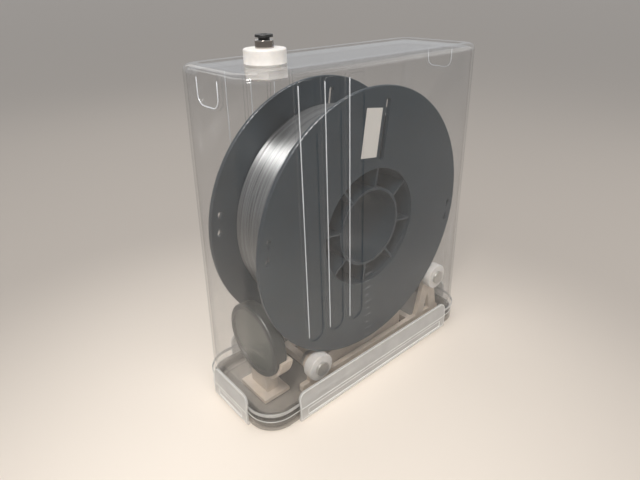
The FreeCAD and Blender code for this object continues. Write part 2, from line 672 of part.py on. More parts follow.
def make_axle_nut(centre):
    """Front axle nut on the inner face of the frame."""
    base = Vector(centre.x, -FRAME_INNER_Y, centre.z)
    nut = hexagon(AXLE_NUT_FLATS, AXLE_NUT_HEIGHT, base, Y_AXIS)
    return nut.cut(disc_y(AXLE_RADIUS + AXLE_FIT, -FRAME_INNER_Y, -FRAME_INNER_Y + AXLE_NUT_HEIGHT, centre))


def leg(top, foot_x):
    """Straight leg of the front frame from a roller's centre down to the lid."""
    foot = Vector(foot_x, 0, FLOOR_Z)
    run = top - foot
    length = run.Length
    half = FRAME_LEG_WIDTH / 2
    bar = box((-half, -FRAME_OUTER_Y, -FRAME_LEG_WIDTH), (half, -FRAME_INNER_Y, length))
    bar.rotate(Vector(0, 0, 0), Y_AXIS, math.degrees(math.atan2(run.x, run.z)))
    bar.translate(foot)
    return bar


def make_cradle_frame():
    """Front cradle frame: base rail, a low post under the left roller and a braced right post."""
    left, right = ROLLER_CENTRES["left"], ROLLER_CENTRES["right"]
    rail = box((FRAME_RAIL_LEFT_X, -FRAME_OUTER_Y, FLOOR_Z),
               (FRAME_RAIL_RIGHT_X, -FRAME_INNER_Y, FLOOR_Z + FRAME_RAIL_HEIGHT))
    ends = []
    for edge in rail.Edges:
        bounds = edge.BoundBox
        if bounds.YLength > FRAME_THICKNESS / 2 and bounds.ZMin > FLOOR_Z:
            ends.append(edge)
    rail = rail.makeFillet(FRAME_RAIL_CORNER, ends)
    pieces = [leg(left, left.x), leg(right, FRAME_OUTER_FOOT_X), leg(right, FRAME_INNER_FOOT_X)]
    holes = []
    for centre in (left, right):
        pieces.append(disc_y(FRAME_BOSS_RADIUS, -FRAME_OUTER_Y, -FRAME_INNER_Y, centre))
        holes.append(disc_y(AXLE_RADIUS + AXLE_FIT, -FRAME_OUTER_Y, -FRAME_INNER_Y, centre))
    below = box((FRAME_RAIL_LEFT_X, -FRAME_OUTER_Y - OVERCUT, FLOOR_Z - 2 * FRAME_LEG_WIDTH),
                (FRAME_RAIL_RIGHT_X + OVERCUT, -FRAME_INNER_Y + OVERCUT, FLOOR_Z))
    return rail.fuse(pieces).cut(holes + [below]).removeSplitter()


def make_tie_bars():
    """Two bars on the lid that hold the frames apart."""
    bars = []
    for x in (TIE_BAR_LEFT_X, TIE_BAR_RIGHT_X):
        bars.append(box((x - TIE_BAR_WIDTH / 2, -FRAME_INNER_Y, FLOOR_Z),
                        (x + TIE_BAR_WIDTH / 2, FRAME_INNER_Y, FLOOR_Z + FRAME_RAIL_HEIGHT)))
    return Part.Compound(bars)


TRAY_MIDDLE = Vector((TRAY_LEFT_X + TRAY_RIGHT_X) / 2, 0, 0)
TRAY_SIZE = ((TRAY_RIGHT_X - TRAY_LEFT_X) / 2, TRAY_HALF_Y, TRAY_CORNER)


def in_tray(shape):
    """Carry a shape from the origin to the tray's place."""
    shape.translate(TRAY_MIDDLE)
    return shape


def make_desiccant_tray():
    """Open printed tray on the lid."""
    tray = rounded_block(TRAY_SIZE, FLOOR_Z, FLOOR_Z + TRAY_HEIGHT)
    hollow = rounded_block(grown(TRAY_SIZE, -TRAY_WALL), FLOOR_Z + TRAY_WALL, FLOOR_Z + TRAY_HEIGHT)
    return in_tray(tray.cut(hollow))


def make_desiccant_beads():
    """The bed of drying beads in the tray."""
    size = grown(TRAY_SIZE, -TRAY_WALL - BEAD_CLEARANCE)
    return in_tray(rounded_block(size, FLOOR_Z + TRAY_WALL, FLOOR_Z + TRAY_HEIGHT - BEAD_LEVEL_MARGIN))


def make_desiccant_cover():
    """Slotted cover on the tray that lets the air through."""
    low = FLOOR_Z + TRAY_HEIGHT
    high = low + COVER_THICKNESS
    cover = rounded_block(TRAY_SIZE, low, high)
    span = 2 * (TRAY_SIZE[0] - COVER_SLOT_MARGIN)
    slot_size = (COVER_SLOT_WIDTH / 2, TRAY_HALF_Y - COVER_SLOT_MARGIN, COVER_SLOT_WIDTH * 0.49)
    slots = []
    for index in range(COVER_SLOT_COUNT):
        slot = rounded_block(slot_size, low, high)
        slot.translate(Vector(span * ((index + 0.5) / COVER_SLOT_COUNT - 0.5), 0, 0))
        slots.append(slot)
    return in_tray(cover.cut(slots))


def meter_disc(radius, low, high):
    """Round disc on the hygrometer's axis, between two X positions."""
    return Part.makeCylinder(radius, high - low, Vector(low, 0, METER_CENTRE_Z), X_AXIS)


def make_hygrometer_case():
    """Round case with eased edges and a sunk window."""
    case = round_edges(meter_disc(METER_RADIUS, METER_FACE_X, METER_BACK_X), METER_FILLET, METER_RADIUS)
    window_floor = METER_FACE_X + METER_WINDOW_DEPTH
    return case.cut(meter_disc(METER_WINDOW_RADIUS, METER_FACE_X, window_floor))


def make_hygrometer_display():
    """Display plate on the floor of the window."""
    back = METER_FACE_X + METER_WINDOW_DEPTH
    return meter_disc(METER_WINDOW_RADIUS - WINDOW_CLEARANCE, back - DISPLAY_THICKNESS, back)


def make_hygrometer_lens():
    """Clear window over the display."""
    back = METER_FACE_X + METER_WINDOW_DEPTH - DISPLAY_THICKNESS
    return meter_disc(METER_WINDOW_RADIUS - WINDOW_CLEARANCE, back - LENS_THICKNESS, back)


def make_hygrometer_holder():
    """Printed stand: foot, stem and a cup that holds the lower half of the case."""
    seat = METER_RADIUS + HOLDER_CLEARANCE
    outer = seat + HOLDER_WALL
    plate_back = METER_BACK_X + HOLDER_PLATE
    band_front = METER_BACK_X - HOLDER_BAND
    cup = meter_disc(outer, band_front, plate_back).cut(meter_disc(seat, band_front, METER_BACK_X))
    above = box((band_front - OVERCUT, -outer - OVERCUT, METER_CENTRE_Z - HOLDER_RISE),
                (plate_back + OVERCUT, outer + OVERCUT, METER_CENTRE_Z + outer + OVERCUT))
    cup = cup.cut(above)
    stem = box((band_front, -HOLDER_STEM_HALF_Y, FLOOR_Z),
               (plate_back, HOLDER_STEM_HALF_Y, METER_CENTRE_Z - seat))
    stem = stem.cut(meter_disc(seat, band_front, METER_BACK_X))
    foot_x = (band_front + plate_back) / 2
    foot = box((foot_x - HOLDER_FOOT_HALF_X, -HOLDER_FOOT_HALF_Y, FLOOR_Z),
               (foot_x + HOLDER_FOOT_HALF_X, HOLDER_FOOT_HALF_Y, FLOOR_Z + HOLDER_FOOT_HEIGHT))
    return cup.fuse([stem, foot]).removeSplitter()


def on_both_sides(make):
    """A group of four small pieces: both rollers' places, front and rear."""
    pieces = []
    for centre in ROLLER_CENTRES.values():
        piece = make(centre)
        pieces += [piece, mirrored_y(piece)]
    return Part.Compound(pieces)


def all_pieces():
    """Every node of the assembly by name."""
    flange = make_spool_flange()
    frame = make_cradle_frame()
    pieces = {
        "lid_plate": make_lid_plate(),
        "lid_gasket": make_lid_gasket(),
        "container_shell": make_container_shell(),
        "outlet_boss": make_outlet_boss(),
        "outlet_nut": make_outlet_nut(),
        "fitting_body": make_fitting_body(),
        "fitting_o_ring": make_fitting_o_ring(),
        "fitting_collet": make_fitting_collet(),
        "spool_flange_front": flange,
        "spool_flange_rear": mirrored_y(flange),
        "spool_hub": make_spool_hub(),
        "spool_label": make_spool_label(),
        "filament_core": make_filament_core(),
        "filament_winding": make_filament_winding(),
        "cradle_frame_front": frame,
        "cradle_frame_rear": mirrored_y(frame),
        "cradle_tie_bars": make_tie_bars(),
        "roller_axle_screws": on_both_sides(make_axle_screw),
        "roller_axle_nuts": on_both_sides(make_axle_nut),
        "desiccant_tray": make_desiccant_tray(),
        "desiccant_beads": make_desiccant_beads(),
        "desiccant_cover": make_desiccant_cover(),
        "hygrometer_case": make_hygrometer_case(),
        "hygrometer_display": make_hygrometer_display(),
        "hygrometer_lens": make_hygrometer_lens(),
        "hygrometer_holder": make_hygrometer_holder(),
    }
    for name, side in FLAP_SIDES.items():
        pieces["flap_" + name] = make_flap(side)
    for name, centre in ROLLER_CENTRES.items():
        roller = make_roller(centre)
        pieces["roller_front_" + name] = roller
        pieces["roller_rear_" + name] = mirrored_y(roller)
    return pieces


def main():
    os.makedirs("parts", exist_ok=True)
    for name, shape in all_pieces().items():
        bounds = shape.BoundBox
        print("%-22s solids %d valid %s volume %9.1f  x %7.2f %7.2f  y %7.2f %7.2f  z %7.2f %7.2f" % (
            name, len(shape.Solids), shape.isValid(), shape.Volume,
            bounds.XMin, bounds.XMax, bounds.YMin, bounds.YMax, bounds.ZMin, bounds.ZMax))
        shape.exportStep(os.path.join("parts", name + ".step"))


main()
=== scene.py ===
"""Finish and studio for a filament dryer box: a clear box upside down on its lid, with a spool inside.

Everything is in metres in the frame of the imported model: +Z up, the wide front wall faces -Y.
"""
import math

import bmesh
import bpy
import numpy as np
from mathutils import Matrix, Vector


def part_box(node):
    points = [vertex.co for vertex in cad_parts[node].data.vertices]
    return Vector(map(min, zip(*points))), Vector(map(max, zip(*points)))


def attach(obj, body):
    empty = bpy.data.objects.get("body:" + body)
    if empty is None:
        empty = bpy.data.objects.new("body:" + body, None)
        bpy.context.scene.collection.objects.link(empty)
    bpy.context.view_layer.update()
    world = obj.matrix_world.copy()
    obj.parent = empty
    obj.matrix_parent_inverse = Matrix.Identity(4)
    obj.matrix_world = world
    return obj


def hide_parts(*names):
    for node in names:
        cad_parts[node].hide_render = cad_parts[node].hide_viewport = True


bl_info = {
    "name": "Filament dryer box",
    "version": (1, 0, 0),
    "blender": (4, 5, 0),
    "location": "3D View > Sidebar > Dryer Box",
    "description": "Dresses the pieces of a filament dryer box and sets up its studio",
    "category": "Object",
}

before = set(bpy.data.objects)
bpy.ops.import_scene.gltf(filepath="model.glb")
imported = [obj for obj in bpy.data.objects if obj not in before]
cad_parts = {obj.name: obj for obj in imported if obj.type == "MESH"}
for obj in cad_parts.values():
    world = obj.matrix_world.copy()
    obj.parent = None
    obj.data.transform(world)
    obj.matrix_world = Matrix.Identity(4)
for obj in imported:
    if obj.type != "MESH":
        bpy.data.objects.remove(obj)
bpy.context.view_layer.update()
MM = 0.001

# Places read from the frame
CORE_LOW, CORE_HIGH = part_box("filament_core")
LAYER_LOW, LAYER_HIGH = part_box("filament_winding")
BEADS_LOW, BEADS_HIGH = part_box("desiccant_beads")
SHELL_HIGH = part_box("container_shell")[1]
SPOOL_CENTRE = (LAYER_LOW + LAYER_HIGH) / 2

# The hood's front wall as a tilted plane, for what is moulded on it and for the painted highlight beads on
# its groove and grip edges
WALL_TOP_Y = -36.9 * MM
WALL_RIM_Y = -41.4 * MM
WALL_RIM_Z = 13.6 * MM
GROOVE_MIDDLES = (-63.6 * MM, -44.3 * MM, -25.0 * MM)
GROOVE_HALF = 6.4 * MM
GROOVE_LOW = 61.0 * MM
GROOVE_HIGH = 235.0 * MM
END_TOP_X = 103.7 * MM
END_RIM_X = 110.4 * MM
GRIP_HALF = 11.0 * MM
GRIP_LOW = 221.5 * MM
GRIP_HIGH = 236.5 * MM
GRIP_CORNER = 6.0 * MM
GROOVE_BEAD_TOP_GAP = 2.0 * MM
GROOVE_BEAD_FOOT_GAP = 5.0 * MM
GROOVE_BEAD_STEPS = 40
BEAD_SIDES = 6

# The hood's rim flange and the lid's skirt, as rounded rectangles: half length, half width, corner
RIM_SIZE = (SHELL_HIGH.x, SHELL_HIGH.y, 21.0 * MM)
RIM_MIDDLE_Z = 15.3 * MM
RIM_BAND_HALF = 1.5 * MM
RIM_STEPS = 320
RIM_SIDES = 8
SKIRT_SIZE = (111.7 * MM, 42.7 * MM, 20.3 * MM)
SKIRT_TOP_Z = 9.0 * MM

# Where a flap bends, how far its upper band leans in, and its edges and panel, whose beads carry a painted
# highlight
FLAP_BEND_Z = 12.5 * MM
FLAP_LEAN = 1.5 * MM
FLAP_HIGHLIGHT_COLOUR = (0.86, 0.85, 0.83)
FLAP_EDGE_FOOT = 2.0 * MM
FLAP_LOW_CORNER = 0.5 * MM
FLAP_HIGH_CORNER = 5.2 * MM
FLAP_EDGE_STEPS = 260
FLAP_BEND_STEPS = 60
FLAP_PANEL_MARGIN = 6.8 * MM
FLAP_PANEL_LOW = 3.8 * MM
FLAP_PANEL_HIGH = 9.7 * MM
BEAD_SUNK = 0.75
FLAP_OUTWARD = {"front": (0, -1, 0), "rear": (0, 1, 0), "left": (-1, 0, 0), "right": (1, 0, 0)}

# Camera solved from the box's edges
CAMERA_PLACE = Vector((-0.24059, -0.25036, 0.28191))
CAMERA_YAW = 0.7127
CAMERA_PITCH = -0.4786
CAMERA_ROLL = -0.0166
CAMERA_FOCAL_PIXELS = 496.29
IMAGE_WIDTH_PIXELS = 640

# The wound turns: points per turn and round the wire, and how much the radius sways
TURN_STEPS = 110
WIRE_SIDES = 8
SLOW_SWAY = 0.06 * MM
QUICK_SWAY = 0.04 * MM
LAYER_GAP = 0.1 * MM
LAYER_STEPS = 6
LAYER_ROUND_STEPS = 180
RIB_ROUNDNESS = 0.6

# The bed of beads: layers, row distance and nudge as shares of a bead, and the tray's corner
BEAD_LAYERS = 2
BEAD_ROW_SHARE = 0.87
BEAD_RISE_SHARE = 0.8
BEAD_NUDGE = 0.12
BED_CORNER = 5.0 * MM

# The studio: lamps, and the painted pool of light on the floor: where it is palest, with how far off the
# painted shade starts and ends to deepen
STAGE_CENTRE = (0, 0, 0.12)
LAMP_COLOUR = (1.0, 0.97, 0.94)
WORLD_COLOUR = (0.97, 0.98, 1.0, 1)
KEY_PLACE = (-0.5, -0.35, 0.95)
KEY_SIZE = 0.28
SIDE_PLACE = (0.75, -0.45, 0.6)
SIDE_SIZE = 0.5
BACK_PLACE = (0.2, 0.8, 0.8)
BACK_SIZE = 0.6
FLOOR_HALF = 40.0
FLOOR_POINTS = 9
FLOOR_PAINTED_LIGHT_PLACE = (-0.11, -0.06, 0.0)
FLOOR_PAINTED_LIGHT_REACH = 0.06
FLOOR_PAINTED_SHADE_REACH = 0.4


class DryerBoxFinish(bpy.types.PropertyGroup):
    """Colours of the dryer box's materials."""

    clear_veil: bpy.props.FloatProperty(
        name="Clear veil", description="How much the clear wall hides what is behind it", default=0.017,
        min=0, max=1, subtype="FACTOR")
    clear_colour: bpy.props.FloatVectorProperty(
        name="Clear plastic", description="Tone of the clear wall's haze", default=(0.8, 0.83, 0.86),
        size=3, min=0, max=1, subtype="COLOR")
    flap_colour: bpy.props.FloatVectorProperty(
        name="Flaps", description="Tone of the milky flaps", default=(0.61, 0.6, 0.575),
        size=3, min=0, max=1, subtype="COLOR")
    lid_colour: bpy.props.FloatVectorProperty(
        name="Lid", description="Tone of the smoky lid", default=(0.25, 0.23, 0.2),
        size=3, min=0, max=1, subtype="COLOR")
    spool_colour: bpy.props.FloatVectorProperty(
        name="Spool", description="Tone of the spool's plastic", default=(0.022, 0.036, 0.048),
        size=3, min=0, max=1, subtype="COLOR")
    filament_colour: bpy.props.FloatVectorProperty(
        name="Filament", description="Tone of the wound filament", default=(0.2, 0.206, 0.208),
        size=3, min=0, max=1, subtype="COLOR")
    printed_colour: bpy.props.FloatVectorProperty(
        name="Printed pieces", description="Tone of the natural printed plastic", default=(0.68, 0.58, 0.48),
        size=3, min=0, max=1, subtype="COLOR")
    white_colour: bpy.props.FloatVectorProperty(
        name="White pieces", description="Tone of the boss and the rollers", default=(0.8, 0.77, 0.73),
        size=3, min=0, max=1, subtype="COLOR")
    bead_colour: bpy.props.FloatVectorProperty(
        name="Beads", description="Tone of the drying beads", default=(0.7, 0.36, 0.16),
        size=3, min=0, max=1, subtype="COLOR")
    meter_colour: bpy.props.FloatVectorProperty(
        name="Hygrometer", description="Tone of the hygrometer's case", default=(0.045, 0.047, 0.042),
        size=3, min=0, max=1, subtype="COLOR")


class WindingSize(bpy.types.PropertyGroup):
    """Sizes of the wound filament, the drying beads, the rounded edges and the moulded scale."""

    wire: bpy.props.FloatProperty(
        name="Filament diameter", description="Thickness of one turn", default=1.75 * MM,
        min=0.0005, max=0.01, unit="LENGTH")
    spacing: bpy.props.FloatProperty(
        name="Turn spacing", description="Distance from turn to turn", default=1.78 * MM,
        min=0.0005, max=0.01, unit="LENGTH")
    bead: bpy.props.FloatProperty(
        name="Bead diameter", description="Size of one drying bead", default=2.8 * MM, min=0.001, max=0.01,
        unit="LENGTH")
    edge_bead: bpy.props.FloatProperty(
        name="Edge bead", description="Radius of the rounded edges of grooves and flaps", default=0.35 * MM,
        min=0.0001, max=0.002, unit="LENGTH")
    tick_length: bpy.props.FloatProperty(
        name="Scale mark", description="Length of one mark of the moulded scale", default=7.0 * MM, min=0.001,
        max=0.03, unit="LENGTH")


class StudioStage(bpy.types.PropertyGroup):
    """Floor, lamps and world."""

    # The floor's two tones are painted light: a pale pool in front of the object and painted shade deepening
    # away from it.
    floor_painted_light: bpy.props.FloatVectorProperty(
        name="Floor", description="Tone of the floor round the object", default=(0.84, 0.755, 0.66),
        size=3, min=0, max=1, subtype="COLOR")
    floor_painted_shade: bpy.props.FloatVectorProperty(
        name="Far floor", description="Tone of the floor away from the object", default=(0.44, 0.395, 0.35),
        size=3, min=0, max=1, subtype="COLOR")
    backdrop: bpy.props.FloatVectorProperty(
        name="Backdrop", description="Tone behind the floor's far edge", default=(0.323, 0.305, 0.287),
        size=3, min=0, max=1, subtype="COLOR")
    world_strength: bpy.props.FloatProperty(
        name="World", description="Strength of the even light", default=0.62, min=0, max=5)
    key_power: bpy.props.FloatProperty(
        name="Key lamp", description="Power of the large lamp", default=6.0, min=0, max=500, unit="POWER")
    glint_power: bpy.props.FloatProperty(
        name="Glint lamp", description="Power of the lamp that only glossy pieces show", default=17.0,
        min=0, max=500, unit="POWER")
    rim_power: bpy.props.FloatProperty(
        name="Side lamps", description="Power of each of the side and back lamps", default=1.4,
        min=0, max=500, unit="POWER")


def new_tree(name):
    """Empty node material with its output and Object coordinates."""
    material = bpy.data.materials.new(name)
    material.use_nodes = True
    tree = material.node_tree
    tree.nodes.clear()
    output = tree.nodes.new("ShaderNodeOutputMaterial")
    coordinates = tree.nodes.new("ShaderNodeTexCoord")
    return material, tree, output, coordinates.outputs["Object"]


def noise(tree, place, scale, detail=3.0):
    """Noise of a scale in waves per metre."""
    node = tree.nodes.new("ShaderNodeTexNoise")
    node.inputs["Scale"].default_value = scale
    node.inputs["Detail"].default_value = detail
    tree.links.new(place, node.inputs["Vector"])
    return node.outputs["Fac"]


def spread(tree, value, low, high):
    """Carry a 0 to 1 value to a range."""
    node = tree.nodes.new("ShaderNodeMapRange")
    node.inputs["To Min"].default_value = low
    node.inputs["To Max"].default_value = high
    tree.links.new(value, node.inputs["Value"])
    return node.outputs["Result"]


def shades(tree, value, colour, depth):
    """Colour that runs from darker to lighter by a share of itself."""
    ramp = tree.nodes.new("ShaderNodeValToRGB")
    ramp.color_ramp.elements[0].position = 0.3
    ramp.color_ramp.elements[1].position = 0.7
    ramp.color_ramp.elements[0].color = [c * (1 - depth) for c in colour] + [1]
    ramp.color_ramp.elements[1].color = [min(1, c * (1 + depth)) for c in colour] + [1]
    tree.links.new(value, ramp.inputs["Fac"])
    return ramp.outputs["Color"]


def bump(tree, shader, value, strength, distance):
    """Raise the surface by a value."""
    node = tree.nodes.new("ShaderNodeBump")
    node.inputs["Strength"].default_value = strength
    node.inputs["Distance"].default_value = distance
    tree.links.new(value, node.inputs["Height"])
    tree.links.new(node.outputs["Normal"], shader.inputs["Normal"])


def principled(tree, colour, roughness, metallic=0.0):
    """The main shader with its plain values."""
    shader = tree.nodes.new("ShaderNodeBsdfPrincipled")
    shader.inputs["Base Color"].default_value = (*colour, 1)
    shader.inputs["Roughness"].default_value = roughness
    shader.inputs["Metallic"].default_value = metallic
    return shader


def mixed(tree, share, first, second):
    """Two surfaces mixed by a share."""
    node = tree.nodes.new("ShaderNodeMixShader")
    tree.links.new(share, node.inputs["Fac"])
    tree.links.new(first, node.inputs[1])
    tree.links.new(second, node.inputs[2])
    return node.outputs["Shader"]


def moulded(name, colour, roughness, grain=900.0, depth=0.08, strength=0.08):
    """Moulded plastic: faint clouds of tone and a fine satin grain."""
    material, tree, output, place = new_tree(name)
    shader = principled(tree, colour, roughness)
    clouds = noise(tree, place, 60.0)
    tree.links.new(shades(tree, clouds, colour, depth), shader.inputs["Base Color"])
    fine = noise(tree, place, grain)
    tree.links.new(spread(tree, fine, roughness * 0.8, roughness * 1.2), shader.inputs["Roughness"])
    bump(tree, shader, fine, strength, 0.0001)
    tree.links.new(shader.outputs["BSDF"], output.inputs["Surface"])
    return material


def printed(name, colour, roughness, layer=0.3 * MM):
    """Printed plastic: level layer lines all the way up, over faint clouds of tone."""
    material, tree, output, place = new_tree(name)
    shader = principled(tree, colour, roughness)
    shader.inputs["Subsurface Weight"].default_value = 0.15
    shader.inputs["Subsurface Radius"].default_value = (0.004, 0.003, 0.002)
    wave = tree.nodes.new("ShaderNodeTexWave")
    wave.bands_direction = "Z"
    wave.inputs["Scale"].default_value = 0.314 / layer
    wave.inputs["Distortion"].default_value = 0.3
    tree.links.new(place, wave.inputs["Vector"])
    clouds = noise(tree, place, 140.0)
    tree.links.new(shades(tree, clouds, colour, 0.08), shader.inputs["Base Color"])
    tree.links.new(spread(tree, wave.outputs["Fac"], roughness * 0.85, roughness * 1.1),
                   shader.inputs["Roughness"])
    bump(tree, shader, wave.outputs["Fac"], 0.35, 0.0001)
    tree.links.new(shader.outputs["BSDF"], output.inputs["Surface"])
    return material


def see_through(name, colour, veil, roughness, tint=0.98, streaks=0.3):
    """Clear or milky plastic: gloss over what shows through the wall, under a veil of its own colour.

    The gloss grows towards grazing sight as 0.04 + 0.9 * (1 - cosine) ^ 5, and lamps shine through.
    """
    material, tree, output, place = new_tree(name)
    body = principled(tree, colour, roughness * 3)
    open_part = tree.nodes.new("ShaderNodeBsdfTransparent")
    open_part.inputs["Color"].default_value = (tint, tint, tint, 1)
    gloss = tree.nodes.new("ShaderNodeBsdfGlossy")
    edge = tree.nodes.new("ShaderNodeLayerWeight")
    edge.inputs["Blend"].default_value = 0.5
    steep = tree.nodes.new("ShaderNodeMath")
    steep.operation = "POWER"
    steep.inputs[1].default_value = 5.0
    tree.links.new(edge.outputs["Facing"], steep.inputs[0])
    share = spread(tree, steep.outputs["Value"], 0.04, 0.94)
    fine = noise(tree, place, 500.0)
    tree.links.new(spread(tree, fine, roughness * 0.7, roughness * 1.3), gloss.inputs["Roughness"])
    bump(tree, gloss, noise(tree, place, 30.0), 0.05, 0.0005)
    clouds = spread(tree, noise(tree, place, 45.0), veil * (1 - streaks), veil * (1 + streaks))
    lamps = tree.nodes.new("ShaderNodeLightPath").outputs["Is Shadow Ray"]
    clear = mixed(tree, share, open_part.outputs["BSDF"], gloss.outputs["BSDF"])
    veiled = mixed(tree, clouds, clear, body.outputs["BSDF"])
    lit = mixed(tree, lamps, veiled, open_part.outputs["BSDF"])
    tree.links.new(lit, output.inputs["Surface"])
    return material


def plated(name, colour, roughness):
    """Plated metal with fine turning marks."""
    material, tree, output, place = new_tree(name)
    shader = principled(tree, colour, roughness, metallic=1.0)
    fine = noise(tree, place, 2500.0)
    tree.links.new(spread(tree, fine, roughness * 0.6, roughness * 1.5), shader.inputs["Roughness"])
    tree.links.new(shades(tree, noise(tree, place, 300.0), colour, 0.06), shader.inputs["Base Color"])
    tree.links.new(shader.outputs["BSDF"], output.inputs["Surface"])
    return material


def strand(name, colour):
    """Silvery filament: a bright satin gloss, with a tone of its own on each turn."""
    material, tree, output, place = new_tree(name)
    shader = principled(tree, colour, 0.28, metallic=0.75)
    shader.inputs["Coat Weight"].default_value = 1.0
    shader.inputs["Coat Roughness"].default_value = 0.2
    stretch = tree.nodes.new("ShaderNodeMapping")
    stretch.inputs["Scale"].default_value = (12.0, 620.0, 12.0)
    tree.links.new(place, stretch.inputs["Vector"])
    turns = noise(tree, stretch.outputs["Vector"], 1.0, detail=2.0)
    tree.links.new(shades(tree, turns, colour, 0.4), shader.inputs["Base Color"])
    tree.links.new(spread(tree, turns, 0.24, 0.34), shader.inputs["Roughness"])
    tree.links.new(shader.outputs["BSDF"], output.inputs["Surface"])
    return material


def paper(name, colour):
    """Bare paper with fibres."""
    material, tree, output, place = new_tree(name)
    shader = principled(tree, colour, 0.8)
    fibres = noise(tree, place, 1800.0, detail=6.0)
    tree.links.new(shades(tree, fibres, colour, 0.05), shader.inputs["Base Color"])
    bump(tree, shader, fibres, 0.2, 0.00005)
    tree.links.new(shader.outputs["BSDF"], output.inputs["Surface"])
    return material


def dress(material, *nodes):
    """Give CAD nodes one material."""
    for name in nodes:
        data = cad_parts[name].data
        data.materials.clear()
        data.materials.append(material)


def add_piece(name, points, faces, material, body, smooth=True):
    """Put a mesh into the scene with outward faces, on a body and a material slot."""
    mesh = bpy.data.meshes.new(name)
    mesh.from_pydata(points.tolist(), [], faces.tolist() if hasattr(faces, "tolist") else faces)
    cleaner = bmesh.new()
    cleaner.from_mesh(mesh)
    bmesh.ops.recalc_face_normals(cleaner, faces=cleaner.faces)
    cleaner.to_mesh(mesh)
    cleaner.free()
    mesh.polygons.foreach_set("use_smooth", np.full(len(mesh.polygons), smooth))
    mesh.materials.append(material)
    piece = bpy.data.objects.new(name, mesh)
    bpy.context.scene.collection.objects.link(piece)
    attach(piece, body)
    return piece


def tube(path, outward, radius, sides, closed, tall=1.0):
    """Ring of points carried along a path: path + radius * (cos a * outward + tall * sin a * across).

    Across is at right angles to the path and to the outward direction. An open tube has capped ends.
    """
    if closed:
        ahead = np.roll(path, -1, axis=0) - np.roll(path, 1, axis=0)
    else:
        ahead = np.gradient(path, axis=0)
    across = np.cross(ahead, outward)
    across /= np.linalg.norm(across, axis=1)[:, None]
    angle = np.linspace(0, 2 * np.pi, sides, endpoint=False)
    ring = radius * (np.cos(angle)[None, :, None] * outward[:, None, :]
                     + tall * np.sin(angle)[None, :, None] * across[:, None, :])
    points = (path[:, None, :] + ring).reshape(-1, 3)
    count = len(path)
    row = np.arange(count if closed else count - 1)[:, None]
    after = (row + 1) % count
    here = np.arange(sides)[None, :]
    there = (here + 1) % sides
    quads = np.stack([row * sides + here, row * sides + there,
                      after * sides + there, after * sides + here], axis=-1)
    faces = quads.reshape(-1, 4).tolist()
    if not closed:
        faces.append(list(range(sides)))
        faces.append(list(range((count - 1) * sides, count * sides)))
    return points, faces


def joined(shapes):
    """Several shapes as one list of points and one of faces."""
    points, faces, start = [], [], 0
    for shape_points, shape_faces in shapes:
        points.append(shape_points)
        faces += [[index + start for index in face] for face in shape_faces]
        start += len(shape_points)
    return np.concatenate(points), faces


def rounded_loop(half, low, high, low_corner, high_corner, count):
    """Outline of an upright rectangle with round corners, walked in even steps.

    Four quarter circles are joined by straight runs, and points are spread evenly over the whole length.
    """
    turn = np.linspace(0, np.pi / 2, 12)
    arcs = []
    for quarter, side in enumerate((1, -1, -1, 1)):
        upper = quarter < 2
        radius = high_corner if upper else low_corner
        level = high - radius if upper else low + radius
        angle = turn + quarter * np.pi / 2
        arcs.append(np.stack([side * (half - radius) + radius * np.cos(angle),
                              level + radius * np.sin(angle)], axis=1))
    outline = np.concatenate(arcs + [arcs[0][:1]])
    length = np.concatenate([[0], np.cumsum(np.hypot(*np.diff(outline, axis=0).T))])
    even = np.linspace(0, length[-1], count, endpoint=False)
    return np.interp(even, length, outline[:, 0]), np.interp(even, length, outline[:, 1])


def level_loop(size, inset, z, bead, tall):
    """Bead round a level rounded rectangle, drawn in by an inset.

    The outline is four quarter circles joined by straight runs, and outward is at right angles to it.
    """
    half_x, half_y, corner = (length - inset for length in size)
    along, across = rounded_loop(half_x, -half_y, half_y, corner, corner, RIM_STEPS)
    path = np.stack([along, across, np.full(len(along), z)], axis=1)
    ahead = np.roll(path, -1, axis=0) - np.roll(path, 1, axis=0)
    outward = np.cross(ahead, [0.0, 0.0, 1.0])
    outward /= np.linalg.norm(outward, axis=1)[:, None]
    return tube(path, outward, bead, RIM_SIDES, True, tall)


def wall_y(z):
    """Place of the hood's front wall at a height, on its tilted plane."""
    slope = (WALL_TOP_Y - WALL_RIM_Y) / (SHELL_HIGH.z - WALL_RIM_Z)
    return WALL_RIM_Y + slope * (z - WALL_RIM_Z)


def groove_highlight_beads(bead):
    """Thin round bead down one edge of each groove, standing in for the painted highlight on its rounded
    edge: a straight line on the tilted wall, front and rear.
    """
    top = GROOVE_HIGH - GROOVE_BEAD_TOP_GAP
    foot = GROOVE_LOW + GROOVE_BEAD_FOOT_GAP
    level = np.linspace(top, foot, GROOVE_BEAD_STEPS)
    shapes = []
    for side in (1, -1):
        for middle in GROOVE_MIDDLES:
            edge = np.full(GROOVE_BEAD_STEPS, middle - GROOVE_HALF)
            path = np.stack([edge, side * wall_y(level), level], axis=1)
            outward = np.tile([0.0, -float(side), 0.0], (GROOVE_BEAD_STEPS, 1))
            shapes.append(tube(path, outward, bead, BEAD_SIDES, False))
    return joined(shapes)


def grip_highlight_beads(bead):
    """Thin round bead round the grip in each end wall, standing in for the painted highlight on its rounded
    edge.

    It is a U on the tilted end plane, its foot two quarter circles.
    """
    corner = np.linspace(0, np.pi / 2, 10)
    foot = GRIP_LOW + GRIP_CORNER
    side = GRIP_HALF - GRIP_CORNER
    fall = GRIP_CORNER * np.sin(corner)
    reach_in = GRIP_CORNER * np.cos(corner)
    across = np.concatenate([[-GRIP_HALF], -side - reach_in, side + fall, [GRIP_HALF]])
    level = np.concatenate([[GRIP_HIGH], foot - fall, foot - reach_in, [GRIP_HIGH]])
    reach = END_TOP_X + (END_RIM_X - END_TOP_X) * (SHELL_HIGH.z - level) / (SHELL_HIGH.z - WALL_RIM_Z)
    shapes = []
    for end in (-1.0, 1.0):
        path = np.stack([end * reach, across, level], axis=1)
        shapes.append(tube(path, np.tile([end, 0.0, 0.0], (len(path), 1)), bead, BEAD_SIDES, False))
    return joined(shapes)


